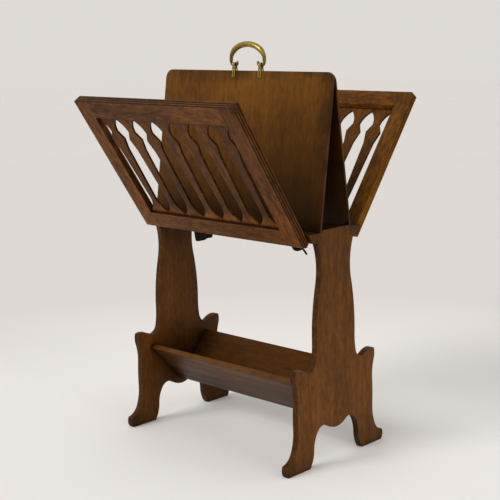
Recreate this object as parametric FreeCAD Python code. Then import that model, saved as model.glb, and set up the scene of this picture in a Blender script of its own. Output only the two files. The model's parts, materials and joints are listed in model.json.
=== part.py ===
import FreeCAD, Part
import math
import os

# An oak atlas stand: two shaped standards, a V-shaped book trough low down, two shelf rails on top
# that carry an A-frame of thin panels, and a slatted wing hinged to each rail.
# Millimetres. X runs along the stand, Y across it, Z up from the floor. Shapes are made about the
# standards' middle plane, for the +Y side, and mirrored to the -Y side. At the end all are moved in Y,
# so that the origin lies on the floor under the middle of the bounding box with the wings open.

# --- overall ---
HALF_LENGTH = 260.0
BOARD = 15.0
INNER_X = HALF_LENGTH - BOARD

# --- shelf rails and the tongue of the standard between them ---
TONGUE_HALF = 46.0
TONGUE_PROUD = 5.0
SHOULDER = 15.0
RAIL_BOTTOM = 500.0
RAIL = 20.0
RAIL_TOP = RAIL_BOTTOM + RAIL

# --- standard: half outline from top to floor, as (Y, Z) ends and middles of arcs that run on smoothly.
# The column's first points are drops below the rails.
COLUMN_TOP = [(TONGUE_HALF + SHOULDER, 0), (49.7, 48.7), (53.5, 98.7), (62.8, 158.8)]
COLUMN_FOOT = [(65, 281.4), (65.4, 259.8), (68.3, 237.9), (76.3, 224), (94, 218.5)]
EAR_EDGE = [(94, 218.5), (103.8, 224.5), (114.5, 228.6), (125, 229.9), (135.5, 228)]
LEG_EDGE = [(135.5, 228), (137.5, 215), (135.3, 202.3), (130.1, 180.2), (129.3, 157.5), (130.5, 125.6), (130, 93.6),
            (131.9, 68.5), (139.8, 44.5), (150.2, 31.4), (166, 24.5)]
TOE_EDGE = [(166, 24.5), (168.5, 12), (163, 0)]
ARCH_EDGE = [(91, 0), (81.2, 18.7), (77.5, 40.1), (73.9, 61.3), (64.3, 79.8), (48.8, 89.2), (31.5, 84.9), (15.8, 77),
             (0, 74.5)]

# --- trough: two boards leaning out at 45 degrees from a lapped joint ---
TROUGH_APEX = 88.0
TROUGH_HALF = 100.0
TROUGH_BOARD = 12.0
TROUGH_EASE = 1.5

# --- A-frame panels ---
PANEL = 5.0
PANEL_SEAT = 6.5
PANEL_FOOT = TONGUE_HALF + PANEL_SEAT
PANEL_RISE = 338.0
PANEL_TOP = RAIL_TOP + PANEL_RISE
PANEL_RIDGE = 3.0
PANEL_CORNER = 20.0
PANEL_SLOPE = (PANEL_FOOT - PANEL_RIDGE) / PANEL_RISE
PANEL_ANGLE = math.atan(PANEL_SLOPE)

# --- wings, in their own frame: X along, Y outwards from the outer face, Z up the slope ---
FRONT_LEAN = 33.5
REAR_LEAN = 36.5
WING_INSET = 10.0
WING_HALF = HALF_LENGTH - WING_INSET
WING_HEIGHT = 376.0
WING_DEPTH = 20.0
WING_CORNER = 8.0
REEDS = 3
REED = WING_DEPTH / REEDS
REED_RISE = 2.0
REED_RADIUS = REED * REED / (8 * REED_RISE) + REED_RISE / 2
STILE = 45.25
TOP_MEMBER = 46.0
OPENING_HALF = WING_HALF - STILE
OPENING_LOW = 50.0
OPENING_HIGH = WING_HEIGHT - TOP_MEMBER
SLAT_FACE = 6.0
SLAT = 5.0
SLAT_TENON = 8.0
BACK_CHAMFER = 7.5
SLATS = 7
SLAT_PITCH = 2 * OPENING_HALF / SLATS
SLAT_GAP = 0.3
# the opening between two slats, as half widths from its top tip down: the bud's arc, then straight to the
# neck and the slot's shoulder, as drops below the top member; the slot's straight side and the arc of its
# pointed end, as heights above the bottom member
BUD = [(0, 7), (14.5, 23), (20, 42)]
NECK = (9, 62)
SLOT_TOP = (16, 92)
SLOT_END = [(21, 52), (16.5, 24), (0, 4)]

# --- butt hinges ---
KNUCKLE = 3.5
KNUCKLE_STANDOFF = 3.9
HINGE_PIN = 1.5
HINGE_RUN = 0.05
HINGE_REACH = 40.6
HINGE_Y = TONGUE_HALF + HINGE_REACH
HINGE_Z = RAIL_TOP + KNUCKLE_STANDOFF
HINGE_UP_WING = 28.0
HINGE_INSET = 80.0
HINGE_X = WING_HALF - HINGE_INSET
HINGE_LENGTH = 51.0
HINGE_LEAF = 22.0
HINGE_PLATE = 1.5
KNUCKLE_GAP = 0.4
STOP_GAP = 0.3

# --- brass handle: saddles astride the ridge and a swinging bail, a little right of the middle ---
HANDLE_X = 6.5
SADDLE_X = 40.5
SADDLE_WIDTH = 9.0
SADDLE_STRAP = 2.4
SADDLE_LEG = 17.0
SADDLE_FOOT = PANEL_TOP - SADDLE_LEG
SADDLE_EYE = 6.3
BAIL_RISE = 13.0
BAIL_AXIS_Z = PANEL_TOP + BAIL_RISE
BAIL_PIN = 3.0
BAIL_RUN = 0.06
BAIL_SHOULDER = 5.0
BAIL_SIDES = 16
CURL_BEND = 3.5
CURL_RISE = 5.5
CURL_TIP = 2.2
BEND_STEPS = 2
# the grip is half an ellipse of centre line, swelling from its feet over the first steps
GRIP_LIFT = 13.0
GRIP_HALF = 51.4
GRIP_RISE = 33.2
GRIP_FOOT = 4.1
GRIP_CROWN = 6.5
GRIP_STEPS = 6
GRIP_SWELL_STEPS = 3

# --- iron cross stays under the rails: half outline as (Y, share of the drop), ends and middles of arcs ---
STAY_X = 150.0
STAY_THICK = 10.0
STAY_FACE = STAY_X + STAY_THICK / 2
STAY_DROP_LEFT = 49.0
STAY_DROP_RIGHT = 42.0
STAY_EDGE = [(70, 0.07), (43.3, 0.29), (24.6, 0.74), (14.8, 0.95), (0, 1)]
# the pin runs level out of the stay and then down, and each step is (X, Y, Z) from where it starts
PIN_RADIUS = 2.0
PIN_Y = 7.0
PIN_DROP = 37.0
PIN_OUT = 3.0
PIN_RUN = (9.5, 6.0, -16.0)


def vec(x, y, z):
    return FreeCAD.Vector(x, y, z)


def yz(points, x=0.0):
    return [vec(x, y, z) for y, z in points]


def polygon_yz(points, x0, x1):
    """Prism along X from x0 to x1 over a closed (Y, Z) outline."""
    corners = yz(points, x0)
    face = Part.Face(Part.makePolygon(corners + corners[:1]))
    return face.extrude(vec(x1 - x0, 0, 0))


def arcs(points):
    """Arcs in a row, each from one end point through a middle point to the next end point."""
    return [Part.Arc(*points[i:i + 3]).toShape() for i in range(0, len(points) - 2, 2)]


def mirror_y(shape):
    return shape.mirror(vec(0, 0, 0), vec(0, 1, 0))


def mirror_x(shape):
    return shape.mirror(vec(0, 0, 0), vec(1, 0, 0))


def box(x0, x1, y0, y1, z0, z1):
    return Part.makeBox(x1 - x0, y1 - y0, z1 - z0, vec(x0, y0, z0))


def standard():
    """End board: tongue, shoulders for the rails, waisted column, ears, feet and a bracketed arch."""
    top, shoulder = RAIL_TOP + TONGUE_PROUD, TONGUE_HALF + SHOULDER
    column = [(y, RAIL_BOTTOM - drop) for y, drop in COLUMN_TOP] + COLUMN_FOOT
    half = [Part.makeLine(vec(0, 0, top), vec(0, TONGUE_HALF, top)),
            Part.makeLine(vec(0, TONGUE_HALF, top), vec(0, TONGUE_HALF, RAIL_BOTTOM)),
            Part.makeLine(vec(0, TONGUE_HALF, RAIL_BOTTOM), vec(0, shoulder, RAIL_BOTTOM)),
            Part.makeLine(vec(0, *TOE_EDGE[-1]), vec(0, *ARCH_EDGE[0]))]
    for edge in (column, EAR_EDGE, LEG_EDGE, TOE_EDGE, ARCH_EDGE):
        half += arcs(yz(edge))
    other = [mirror_y(edge) for edge in half]
    outline = Part.Wire(Part.__sortEdges__(half + other))
    board = Part.Face(outline).extrude(vec(BOARD, 0, 0))
    board.translate(vec(INNER_X, 0, 0))
    return board


def trough_board(rear):
    """Board at 45 degrees; the rear one runs on to the apex and the front one butts on it."""
    across = TROUGH_BOARD / math.sqrt(2)
    top = TROUGH_APEX + TROUGH_HALF
    outer_top = (TROUGH_HALF, top)
    inner_top = (TROUGH_HALF - across, top + across)
    if rear:
        foot = [(-across, TROUGH_APEX + across), (0, TROUGH_APEX)]
    else:
        foot = [(0, TROUGH_APEX + 2 * across), (across, TROUGH_APEX + across)]
    board = polygon_yz(foot + [outer_top, inner_top], -INNER_X, INNER_X)
    rims = [e for e in board.Edges if e.Length > INNER_X and e.CenterOfMass.z > top - 1]
    board = board.makeFillet(TROUGH_EASE, rims)
    return board if rear else mirror_y(board)


def shelf_rail(lean):
    """Rail in the standards' shoulders; its outer face leans with the open wing and stops it."""
    a = math.radians(lean)
    reach = KNUCKLE_STANDOFF - STOP_GAP

    def outer(z):
        return HINGE_Y + (reach + (z - HINGE_Z) * math.sin(a)) / math.cos(a)

    section = [(TONGUE_HALF, RAIL_BOTTOM), (outer(RAIL_BOTTOM), RAIL_BOTTOM), (outer(RAIL_TOP), RAIL_TOP),
               (TONGUE_HALF, RAIL_TOP)]
    return polygon_yz(section, -HALF_LENGTH, HALF_LENGTH)


def rounded_plate(half, z0, z1, corner, y0, y1):
    """Plate in XZ with its two top corners rounded, between y0 and y1."""
    k = corner * (1 - math.sqrt(0.5))
    edges = [Part.makeLine(vec(-half, y0, z0), vec(half, y0, z0)),
             Part.makeLine(vec(half, y0, z0), vec(half, y0, z1 - corner)),
             Part.Arc(vec(half, y0, z1 - corner), vec(half - k, y0, z1 - k), vec(half - corner, y0, z1)).toShape(),
             Part.makeLine(vec(half - corner, y0, z1), vec(corner - half, y0, z1)),
             Part.Arc(vec(corner - half, y0, z1), vec(k - half, y0, z1 - k), vec(-half, y0, z1 - corner)).toShape(),
             Part.makeLine(vec(-half, y0, z1 - corner), vec(-half, y0, z0))]
    return Part.Face(Part.Wire(edges)).extrude(vec(0, y1 - y0, 0))


def panel():
    """Thin sloping panel, mitred against its twin along the ridge."""
    thick = PANEL / math.cos(PANEL_ANGLE)
    meet = PANEL_TOP - (thick - PANEL_RIDGE) / PANEL_SLOPE
    section = [(PANEL_FOOT - thick, RAIL_TOP), (PANEL_FOOT, RAIL_TOP), (PANEL_RIDGE, PANEL_TOP), (0, PANEL_TOP),
               (0, meet)]
    board = polygon_yz(section, -HALF_LENGTH, HALF_LENGTH)
    mask = rounded_plate(HALF_LENGTH, RAIL_TOP, PANEL_TOP, PANEL_CORNER, -1, PANEL_FOOT + 1)
    return board.common(mask)


def reeded_face(inner, rim, point):
    """Face from inner out to a rim of round reeds; point gives the place for (distance, depth)."""
    root = rim - REED_RISE
    edges = [Part.makeLine(point(root, -WING_DEPTH), point(inner, -WING_DEPTH)),
             Part.makeLine(point(inner, -WING_DEPTH), point(inner, 0)),
             Part.makeLine(point(inner, 0), point(root, 0))]
    for i in range(REEDS):
        top = -REED * i
        edges.append(Part.Arc(point(root, top), point(rim, top - REED / 2), point(root, top - REED)).toShape())
    return Part.Face(Part.Wire(edges))


def back_chamfer():
    """Wedge that bevels the opening's inner arris."""
    x, grown = OPENING_HALF, OPENING_HALF + BACK_CHAMFER
    return Part.makeWedge(-grown, -WING_DEPTH, OPENING_LOW - BACK_CHAMFER, OPENING_LOW, -x,
                          grown, BACK_CHAMFER - WING_DEPTH, OPENING_HIGH + BACK_CHAMFER, OPENING_HIGH, x)


def bullnose():
    """Space of the wing above its half-round foot."""
    r = WING_DEPTH / 2
    foot = Part.makeCylinder(r, 2 * WING_HALF, vec(-WING_HALF, -r, r), vec(1, 0, 0))
    return foot.fuse(box(-WING_HALF, WING_HALF, -WING_DEPTH, 0, r, WING_HEIGHT))


def stile():
    """Right side of a wing frame, full height: reeds up its edge meet those across the top in a mitre."""
    side = reeded_face(OPENING_HALF, WING_HALF, lambda u, y: vec(u, y, 0)).extrude(vec(0, 0, WING_HEIGHT))
    head = reeded_face(0, WING_HEIGHT, lambda u, y: vec(OPENING_HALF, y, u)).extrude(vec(STILE, 0, 0))
    corner = rounded_plate(WING_HALF, 0, WING_HEIGHT, WING_CORNER, -WING_DEPTH, 0)
    return side.common(head).common(corner).common(bullnose()).cut(back_chamfer())


def wing_rail(top):
    """Top or bottom member between the stiles, grooved for the slats' ends."""
    x = OPENING_HALF
    if top:
        blank = reeded_face(OPENING_HIGH, WING_HEIGHT, lambda u, y: vec(-x, y, u)).extrude(vec(2 * x, 0, 0))
    else:
        blank = box(-x, x, -WING_DEPTH, 0, 0, OPENING_LOW).common(bullnose())
    groove = box(-x, x, -SLAT_FACE - SLAT, -SLAT_FACE, OPENING_LOW - SLAT_TENON, OPENING_HIGH + SLAT_TENON)
    return blank.cut(groove).cut(back_chamfer())


def slat(index):
    """Flat slat whose two edges carry half of the opening's outline each."""
    half = (SLAT_PITCH - SLAT_GAP) / 2
    low, high = OPENING_LOW - SLAT_TENON, OPENING_HIGH + SLAT_TENON
    y = -SLAT_FACE

    def at(width, z):
        return vec(min(half, SLAT_PITCH / 2 - width), y, z)

    bud = [at(width, OPENING_HIGH - drop) for width, drop in BUD + [NECK, SLOT_TOP]]
    end = [at(width, OPENING_LOW + rise) for width, rise in SLOT_END]
    corners = [vec(0, y, high), vec(half, y, high), bud[0]]
    right = [Part.makeLine(*corners[i:i + 2]) for i in range(2)]
    right += arcs(bud[:3]) + [Part.makeLine(*bud[2:4]), Part.makeLine(*bud[3:]), Part.makeLine(bud[4], end[0])]
    right += arcs(end) + [Part.makeLine(end[2], vec(half, y, low)), Part.makeLine(vec(half, y, low), vec(0, y, low))]
    outline = Part.Wire(Part.__sortEdges__(right + [mirror_x(edge) for edge in right]))
    shape = Part.Face(outline).extrude(vec(0, -SLAT, 0))
    shape.translate(vec((index - (SLATS - 1) / 2) * SLAT_PITCH, 0, 0))
    return shape


def along_axis(radius, x0, x1):
    return Part.makeCylinder(radius, x1 - x0, vec(x0, 0, 0), vec(1, 0, 0))


def rail_leaf(x):
    """Leaf flat on the rail with the two outer knuckles and the pin; hinge axis on the X axis."""
    half, third = HINGE_LENGTH / 2, HINGE_LENGTH / 6
    clear = KNUCKLE + KNUCKLE_GAP
    plate = box(-half, half, -HINGE_LEAF, 0, -KNUCKLE_STANDOFF, HINGE_PLATE - KNUCKLE_STANDOFF)
    plate = plate.cut(box(-third, third, -clear, 0, -clear, 0))
    leaf = plate.multiFuse([along_axis(KNUCKLE, -half, -third), along_axis(KNUCKLE, third, half),
                            along_axis(HINGE_PIN, -third, third)]).removeSplitter()
    leaf.translate(vec(x, 0, 0))
    return leaf


def wing_leaf(x):
    """Leaf flat on the wing with the bored middle knuckle; hinge axis on the X axis, wing upright."""
    half, third = HINGE_LENGTH / 2, HINGE_LENGTH / 6 - KNUCKLE_GAP
    clear = KNUCKLE + KNUCKLE_GAP
    plate = box(-half, half, KNUCKLE_STANDOFF - HINGE_PLATE, KNUCKLE_STANDOFF, clear, HINGE_LEAF)
    tongue = box(-third, third, KNUCKLE_STANDOFF - HINGE_PLATE, KNUCKLE_STANDOFF, 0, clear)
    leaf = plate.multiFuse([tongue, along_axis(KNUCKLE, -third, third)])
    leaf = leaf.cut(along_axis(HINGE_PIN + HINGE_RUN, -third, third)).removeSplitter()
    leaf.translate(vec(x, 0, 0))
    return leaf


def place_on_wing(shape, lean):
    """From the wing frame to the stand: the hinge axis goes to its place and the wing leans out."""
    moved = shape.copy()
    moved.translate(vec(0, WING_DEPTH + KNUCKLE_STANDOFF, -HINGE_UP_WING))
    return place_on_axis(moved, lean)


def place_on_axis(shape, lean):
    moved = shape.copy()
    moved.rotate(vec(0, 0, 0), vec(1, 0, 0), -lean)
    moved.translate(vec(0, HINGE_Y, HINGE_Z))
    return moved


def wing_parts():
    """Frame members and slats of one wing, in the wing frame."""
    parts = {"stile_left": mirror_x(stile()), "stile_right": stile(),
             "top_rail": wing_rail(True), "bottom_rail": wing_rail(False)}
    for i in range(SLATS):
        parts["slat_%d" % (i + 1)] = slat(i)
    return parts


def saddle(x):
    """Brass strap astride the ridge with an eye for the bail above it."""
    foot_half = PANEL_RIDGE + SADDLE_LEG * PANEL_SLOPE
    strap = SADDLE_STRAP / math.cos(PANEL_ANGLE)
    right = [(foot_half, SADDLE_FOOT), (foot_half + strap, SADDLE_FOOT), (PANEL_RIDGE + strap, PANEL_TOP),
             (SADDLE_EYE, BAIL_AXIS_Z)]
    left = [(-y, z) for y, z in reversed(right)]
    section = right + left + [(-PANEL_RIDGE, PANEL_TOP), (PANEL_RIDGE, PANEL_TOP)]
    half = SADDLE_WIDTH / 2
    body = polygon_yz(section, -half, half).common(saddle_front(foot_half + strap))
    eye = along_axis(SADDLE_EYE, -half, half)
    eye.translate(vec(0, 0, BAIL_AXIS_Z))
    bore = along_axis(BAIL_PIN + BAIL_RUN, -half, half)
    bore.translate(vec(0, 0, BAIL_AXIS_Z))
    body = body.fuse(eye).cut(bore).removeSplitter()
    body.translate(vec(x, 0, 0))
    return body


def saddle_front(reach):
    """Strap seen from the front, out to reach each way in Y: legs that taper to blunt points."""
    half, foot = SADDLE_WIDTH / 2, SADDLE_WIDTH / 3
    right = [(half, BAIL_AXIS_Z), (half, PANEL_TOP), (foot, SADDLE_FOOT + foot), (foot / 2, SADDLE_FOOT)]
    left = [(-x, z) for x, z in reversed(right)]
    corners = [vec(x, -reach, z) for x, z in right + left]
    return Part.Face(Part.makePolygon(corners + corners[:1])).extrude(vec(0, 2 * reach, 0))


def ring(x, z, turn, radius):
    """Corners of a polygon across the bail's bar, turned from level about Y."""
    tilt, corners = math.radians(turn), []
    for i in range(BAIL_SIDES):
        a = 2 * math.pi * (i + 0.5) / BAIL_SIDES
        across = radius * math.cos(a)
        corners.append(vec(x + across * math.cos(tilt), radius * math.sin(a), z - across * math.sin(tilt)))
    return corners


def flat_face(corners):
    return Part.Face(Part.makePolygon(corners + corners[:1]))


def faceted_bar(line):
    """Solid through a row of rings, with two flat triangles between each pair of neighbouring sides."""
    rings = [ring(*place) for place in line]
    faces = [flat_face(rings[0]), flat_face(rings[-1])]
    for low, high in zip(rings, rings[1:]):
        for i in range(BAIL_SIDES):
            faces += [flat_face([low[i], low[i - 1], high[i]]), flat_face([low[i - 1], high[i - 1], high[i]])]
    return Part.Solid(Part.Shell(faces))


def curl_line():
    """Right curl from the pin to its tip, as (x, z, turn, radius) of each ring, heights from the pin's axis."""
    inner, line = SADDLE_X - BAIL_SHOULDER, []
    for i in range(BEND_STEPS + 1):
        turn = 90 * i / BEND_STEPS
        t = math.radians(turn)
        line.append((inner - CURL_BEND * math.sin(t), CURL_BEND * (1 - math.cos(t)), 90 + turn, BAIL_PIN))
    return line + [(inner - CURL_BEND, CURL_BEND + CURL_RISE, 180, CURL_TIP)]


def grip_line():
    """Right half of the grip from the pin to the crown, as the rings of the curl."""
    outer, line = SADDLE_X + BAIL_SHOULDER, []
    neck_bend = GRIP_HALF - outer
    for i in range(BEND_STEPS + 1):
        turn = 90 * i / BEND_STEPS
        t = math.radians(turn)
        line.append((outer + neck_bend * math.sin(t), neck_bend * (1 - math.cos(t)), 90 - turn, BAIL_PIN))
    for i in range(GRIP_STEPS + 1):
        t = math.radians(90 * i / GRIP_STEPS)
        turn = -math.degrees(math.atan2(GRIP_HALF * math.sin(t), GRIP_RISE * math.cos(t)))
        radius = GRIP_FOOT + (GRIP_CROWN - GRIP_FOOT) * min(1, i / GRIP_SWELL_STEPS)
        line.append((GRIP_HALF * math.cos(t), GRIP_LIFT + GRIP_RISE * math.sin(t), turn, radius))
    return line


def bail():
    """Swinging handle: round pins in the saddles' eyes, curled tips inside them, an arched grip outside."""
    half = grip_line()
    other = [(-x, z, -180 - turn, radius) for x, z, turn, radius in reversed(half[:-1])]
    grip, curl = faceted_bar(half + other), faceted_bar(curl_line())
    pin = along_axis(BAIL_PIN, SADDLE_X - BAIL_SHOULDER, SADDLE_X + BAIL_SHOULDER)
    shape = grip.multiFuse([curl, mirror_x(curl), pin, mirror_x(pin)]).removeSplitter()
    shape.translate(vec(HANDLE_X, 0, BAIL_AXIS_Z))
    return shape


def cross_stay(x, drop):
    """Iron plate under both rails, dropping to a rounded toe in the middle."""
    edge = yz([(y, RAIL_BOTTOM - share * drop) for y, share in STAY_EDGE])
    corner = vec(0, STAY_EDGE[0][0], RAIL_BOTTOM)
    half = [Part.makeLine(vec(0, 0, RAIL_BOTTOM), corner), Part.makeLine(corner, edge[0])] + arcs(edge)
    outline = Part.Wire(Part.__sortEdges__(half + [mirror_y(e) for e in half]))
    plate = Part.Face(outline).extrude(vec(STAY_THICK, 0, 0))
    plate.translate(vec(x - STAY_THICK / 2, 0, 0))
    return plate


def stay_pin():
    """Thin rod that runs out of the near stay's outer face and hangs down."""
    start = vec(STAY_FACE, PIN_Y, RAIL_BOTTOM - PIN_DROP)
    elbow = start + vec(PIN_OUT, 0, 0)
    run = vec(*PIN_RUN)
    root = Part.makeCylinder(PIN_RADIUS, PIN_OUT + PIN_RADIUS, start, vec(1, 0, 0))
    return root.fuse(Part.makeCylinder(PIN_RADIUS, run.Length, elbow, run))


def wing_reach(lean):
    """How far an open wing's top reed reaches out from the middle plane."""
    a = math.radians(lean)
    out = WING_DEPTH + KNUCKLE_STANDOFF - REED / 2
    up = WING_HEIGHT - HINGE_UP_WING - REED_RADIUS
    return HINGE_Y + out * math.cos(a) + up * math.sin(a) + REED_RADIUS


def build():
    parts = {"standard_right": standard(), "standard_left": mirror_x(standard()),
             "trough_board_front": trough_board(False), "trough_board_rear": trough_board(True),
             "shelf_rail_front": mirror_y(shelf_rail(FRONT_LEAN)), "shelf_rail_rear": shelf_rail(REAR_LEAN),
             "panel_front": mirror_y(panel()), "panel_rear": panel(),
             "saddle_left": saddle(HANDLE_X - SADDLE_X), "saddle_right": saddle(HANDLE_X + SADDLE_X),
             "bail": bail(),
             "cross_stay_left": cross_stay(-STAY_X, STAY_DROP_LEFT),
             "cross_stay_right": cross_stay(STAY_X, STAY_DROP_RIGHT),
             "stay_pin": stay_pin()}
    members = wing_parts()
    for side, lean, turn in (("front", FRONT_LEAN, mirror_y), ("rear", REAR_LEAN, lambda s: s)):
        for name, shape in members.items():
            parts["%s_wing_%s" % (side, name)] = turn(place_on_wing(shape, lean))
        for end, x in (("left", -HINGE_X), ("right", HINGE_X)):
            on_rail = rail_leaf(x)
            on_rail.translate(vec(0, HINGE_Y, HINGE_Z))
            parts["%s_hinge_%s_rail_leaf" % (side, end)] = turn(on_rail)
            parts["%s_hinge_%s_wing_leaf" % (side, end)] = turn(place_on_axis(wing_leaf(x), lean))
    return parts


os.makedirs("parts", exist_ok=True)
centre = vec(0, (wing_reach(FRONT_LEAN) - wing_reach(REAR_LEAN)) / 2, 0)
for node, solid in build().items():
    solid.translate(centre)
    solid.exportStep("parts/%s.step" % node)
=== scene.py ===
import json
import math

import bpy
import numpy as np
from bpy.props import FloatProperty, FloatVectorProperty, IntProperty, PointerProperty
from mathutils import Matrix, Vector


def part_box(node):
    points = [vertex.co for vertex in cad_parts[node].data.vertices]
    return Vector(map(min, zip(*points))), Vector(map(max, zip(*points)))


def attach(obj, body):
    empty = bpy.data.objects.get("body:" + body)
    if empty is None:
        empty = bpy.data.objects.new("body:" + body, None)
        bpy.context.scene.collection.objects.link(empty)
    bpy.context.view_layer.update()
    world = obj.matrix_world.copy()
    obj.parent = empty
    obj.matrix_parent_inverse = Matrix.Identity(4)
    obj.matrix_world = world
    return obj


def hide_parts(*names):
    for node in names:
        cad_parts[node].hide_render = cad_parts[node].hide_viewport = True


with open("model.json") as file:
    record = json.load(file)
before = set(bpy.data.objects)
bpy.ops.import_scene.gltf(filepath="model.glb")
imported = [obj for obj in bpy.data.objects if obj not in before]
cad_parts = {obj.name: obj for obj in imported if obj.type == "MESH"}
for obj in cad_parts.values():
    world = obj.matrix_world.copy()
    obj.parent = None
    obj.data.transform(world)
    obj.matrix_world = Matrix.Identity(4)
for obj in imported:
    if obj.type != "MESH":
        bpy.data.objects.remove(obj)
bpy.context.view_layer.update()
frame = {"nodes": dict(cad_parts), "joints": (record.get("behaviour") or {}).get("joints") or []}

bl_info = {
    "name": "Oak atlas stand",
    "version": (1, 0, 0),
    "blender": (4, 5, 0),
    "location": "View3D > Sidebar > Atlas stand",
    "description": "Oak, brass and iron finishes, and the handle, stays and screws of an atlas stand",
    "category": "Object",
}

AXES = {joint["name"]: Vector(joint["pos_m"]) for joint in frame["joints"]}
FRONT, REAR = -1.0, 1.0
WORD = {FRONT: "front", REAR: "rear"}
LEAN = {FRONT: math.radians(33.5), REAR: math.radians(36.5)}

# A wing's frame, measured from its hinge axis: its foot and its face, half its length, its height, and the
# width of each of the three reeds of its rim.
WING_FOOT, WING_FACE = -0.028, 0.0239
WING_HALF, WING_HEIGHT = 0.250, 0.376
REED = 0.02 / 3

# A panel's outer face: its run over its rise, and its distance from the middle and its height at the ridge.
PANEL_SLOPE = 0.14645
RIDGE = (0.003, 0.858)

# The part of its 0 to 1 in which nearly all of a noise lies.
NOISE_SPAN = (0.3, 0.7)

# Noises of the oak: the share of the scale that is left along the grain, the scale, detail and roughness.
GRAIN = {
    "drift": (0.25, 9.0, 2.0, 0.5),
    "streak": (0.05, 60.0, 4.0, 0.6),
    "mottle": (0.40, 105.0, 4.0, 0.65),
    "fibre": (0.10, 420.0, 3.0, 0.6),
    "blotch": (0.55, 8.0, 3.0, 0.5),
    "pore": (0.07, 1300.0, 1.0, 0.5),
}


# ---------------------------------------------------------------- node helpers

def node(tree, kind, sockets=None, **settings):
    """Adds a shader node, sets its options and its sockets by name or number, and returns its outputs."""
    made = tree.nodes.new("ShaderNode" + kind)
    for key, value in settings.items():
        setattr(made, key, value)
    for key, value in (sockets or {}).items():
        if isinstance(value, bpy.types.NodeSocket):
            tree.links.new(value, made.inputs[key])
        else:
            made.inputs[key].default_value = value
    return made.outputs


def maths(tree, operation, *values, clamp=False):
    """Result of one sum on numbers or sockets."""
    return node(tree, "Math", dict(enumerate(values)), operation=operation, use_clamp=clamp)[0]


def times(tree, first, second):
    """The first value times the second."""
    return maths(tree, "MULTIPLY", first, second)


def greatest(tree, *values):
    """The largest of several values."""
    most = values[0]
    for value in values[1:]:
        most = maths(tree, "MAXIMUM", most, value)
    return most


def stretched(tree, vector, x, y, z):
    """A vector times a factor for each axis. A factor under 1 stretches a pattern along its axis."""
    return node(tree, "VectorMath", {0: vector, 1: (x, y, z)}, operation="MULTIPLY")[0]


def noise(tree, vector, scale, detail=2.0, roughness=0.5):
    """Noise around 0.5."""
    sockets = {"Vector": vector, "Scale": scale, "Detail": detail, "Roughness": roughness}
    return node(tree, "TexNoise", sockets)["Fac"]


def between(tree, value, low, high, out_low=0.0, out_high=1.0):
    """Maps low..high to out_low..out_high and clamps."""
    return node(tree, "MapRange", {0: value, 1: low, 2: high, 3: out_low, 4: out_high})[0]


def mixed(tree, share, first, second, how="MIX"):
    """The first colour, with the share of the second mixed in."""
    sockets = {0: share, 6: first, 7: second}
    return node(tree, "Mix", sockets, data_type="RGBA", blend_type=how)[2]


def ramp(tree, value, stops):
    """Colour ramp through (place, colour) stops."""
    made = tree.nodes.new("ShaderNodeValToRGB")
    tree.links.new(value, made.inputs[0])
    while len(made.color_ramp.elements) < len(stops):
        made.color_ramp.elements.new(0.5)
    for element, (place, colour) in zip(made.color_ramp.elements, stops):
        element.position = place
        element.color = (*colour, 1.0)
    return made.outputs[0]


def new_material(name):
    """Material with an empty node tree."""
    material = bpy.data.materials.new(name)
    material.use_nodes = True
    material.node_tree.nodes.clear()
    return material, material.node_tree


def finish_with(tree, sockets):
    """Principled shader to the material's output."""
    shader = node(tree, "BsdfPrincipled", sockets)[0]
    node(tree, "OutputMaterial", {0: shader})


def arris(tree, radius):
    """1 on worn edges and 0 on flats: how far the rounded normal turns from the flat one."""
    rounded = node(tree, "Bevel", {"Radius": radius}, samples=6)[0]
    flat = node(tree, "NewGeometry")["Normal"]
    same = node(tree, "VectorMath", {0: rounded, 1: flat}, operation="DOT_PRODUCT")["Value"]
    return maths(tree, "SUBTRACT", 1.0, same, clamp=True), rounded


# ---------------------------------------------------------------- oak

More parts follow.
